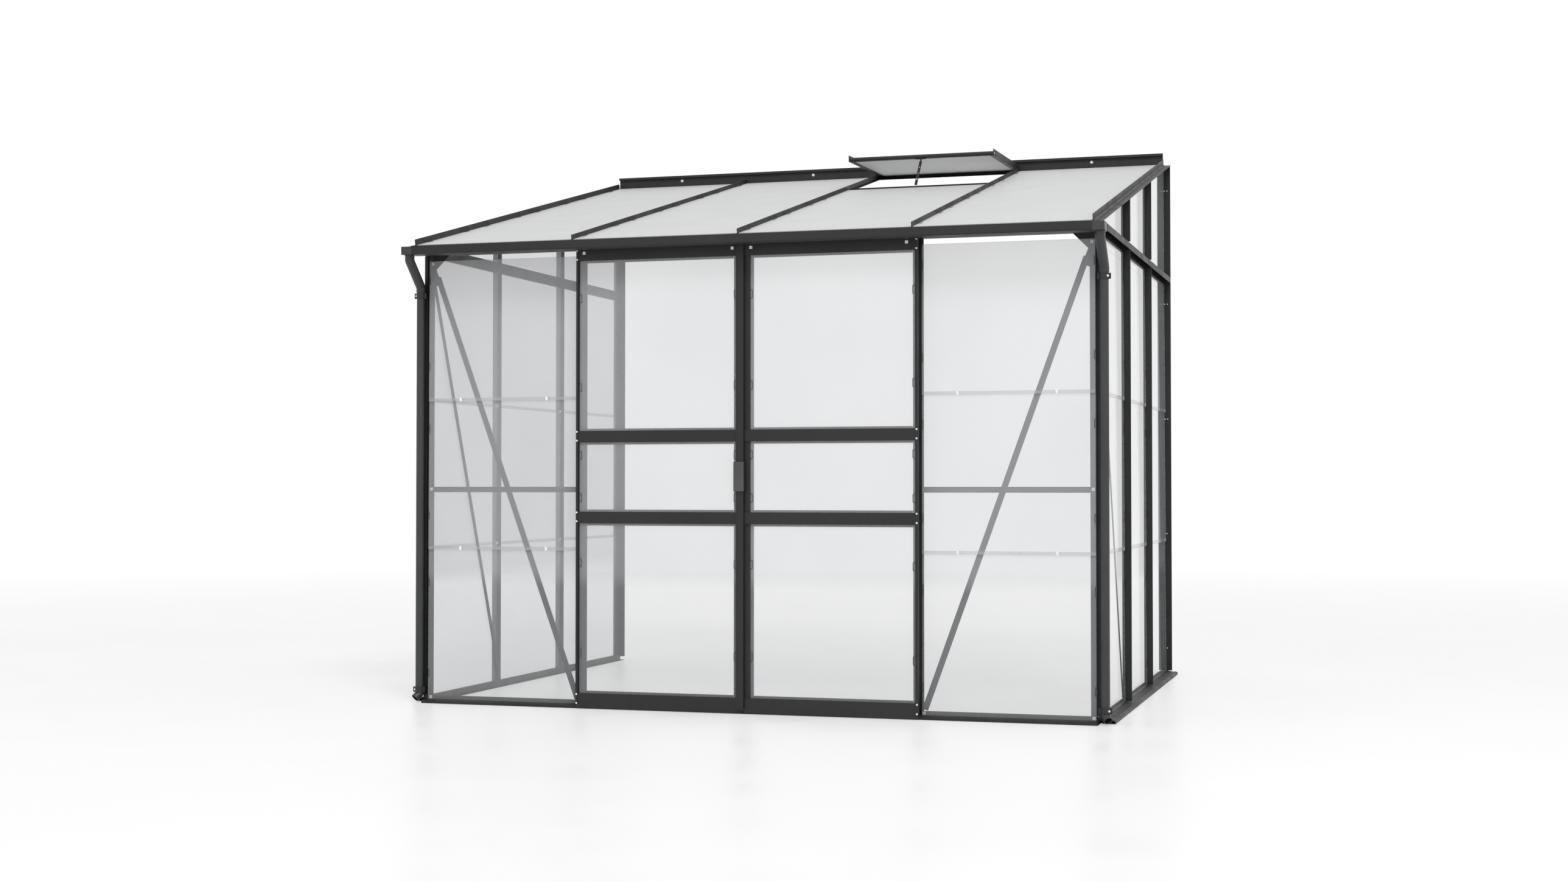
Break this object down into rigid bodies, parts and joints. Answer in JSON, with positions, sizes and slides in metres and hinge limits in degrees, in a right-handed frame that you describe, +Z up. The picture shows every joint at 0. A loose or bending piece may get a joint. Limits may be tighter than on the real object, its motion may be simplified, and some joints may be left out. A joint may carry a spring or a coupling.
{
  "type": "lean-to greenhouse",
  "caption": "Lean-to glass greenhouse with anthracite aluminium bars, sliding double doors, milky twin-wall roof, gutter with downpipes and a roof vent propped open.",
  "frame": {"origin": "on the ground, under the middle of the outline", "axes": "+X to the right seen from the doors, along the house wall; +Y from the doors to the house wall; +Z up"},
  "size_m": [2.57, 2.054, 2.2006],
  "materials": {
    "coated_aluminium": "anthracite powder coat, satin",
    "pipe_plastic": "dark grey moulded plastic",
    "roof_sheet": "milky twin-wall polycarbonate",
    "glass": "clear horticultural glass",
    "roller": "black nylon and steel"
  },
  "bodies": {
    "house": {"front_sill": "coated_aluminium", "left_sill": "coated_aluminium", "right_sill": "coated_aluminium", "left_corner_post": "coated_aluminium", "right_corner_post": "coated_aluminium", "left_door_post": "coated_aluminium", "right_door_post": "coated_aluminium", "front_mid_rails": "coated_aluminium", "front_braces": "coated_aluminium", "corner_gussets": "coated_aluminium", "eave_beam": "coated_aluminium", "eave_plate": "coated_aluminium", "door_track": "coated_aluminium", "gutter": "coated_aluminium", "left_wall_bars": "coated_aluminium", "right_wall_bars": "coated_aluminium", "left_back_post": "coated_aluminium", "right_back_post": "coated_aluminium", "left_eave_rail": "coated_aluminium", "right_eave_rail": "coated_aluminium", "side_braces": "coated_aluminium", "left_verge_bar": "coated_aluminium", "right_verge_bar": "coated_aluminium", "roof_bars": "coated_aluminium", "wall_plate": "coated_aluminium", "vent_cross_bar": "coated_aluminium", "vent_frame": "coated_aluminium", "vent_stay": "coated_aluminium", "gutter_outlets": "pipe_plastic", "left_downpipe": "pipe_plastic", "right_downpipe": "pipe_plastic", "pipe_clips": "pipe_plastic", "roof_sheets": "roof_sheet", "vent_bay_sheet": "roof_sheet", "vent_sheet": "roof_sheet", "front_left_glass": "glass", "front_right_glass": "glass", "left_wall_glass": "glass", "right_wall_glass": "glass", "left_gable_glass": "glass", "right_gable_glass": "glass"},
    "left_leaf": {"left_door_frame": "coated_aluminium", "left_door_glass": "glass", "left_door_rollers": "roller", "door_handle": "coated_aluminium"},
    "right_leaf": {"right_door_frame": "coated_aluminium", "right_door_glass": "glass", "right_door_rollers": "roller"}
  },
  "joints": [
    {"name": "left_door_slide", "type": "slide", "parent": "house", "child": "left_leaf", "axis": [-1, 0, 0], "range_m": [0, 0.58]},
    {"name": "right_door_slide", "type": "slide", "parent": "house", "child": "right_leaf", "axis": [1, 0, 0], "range_m": [0, 0.58]}
  ]
}
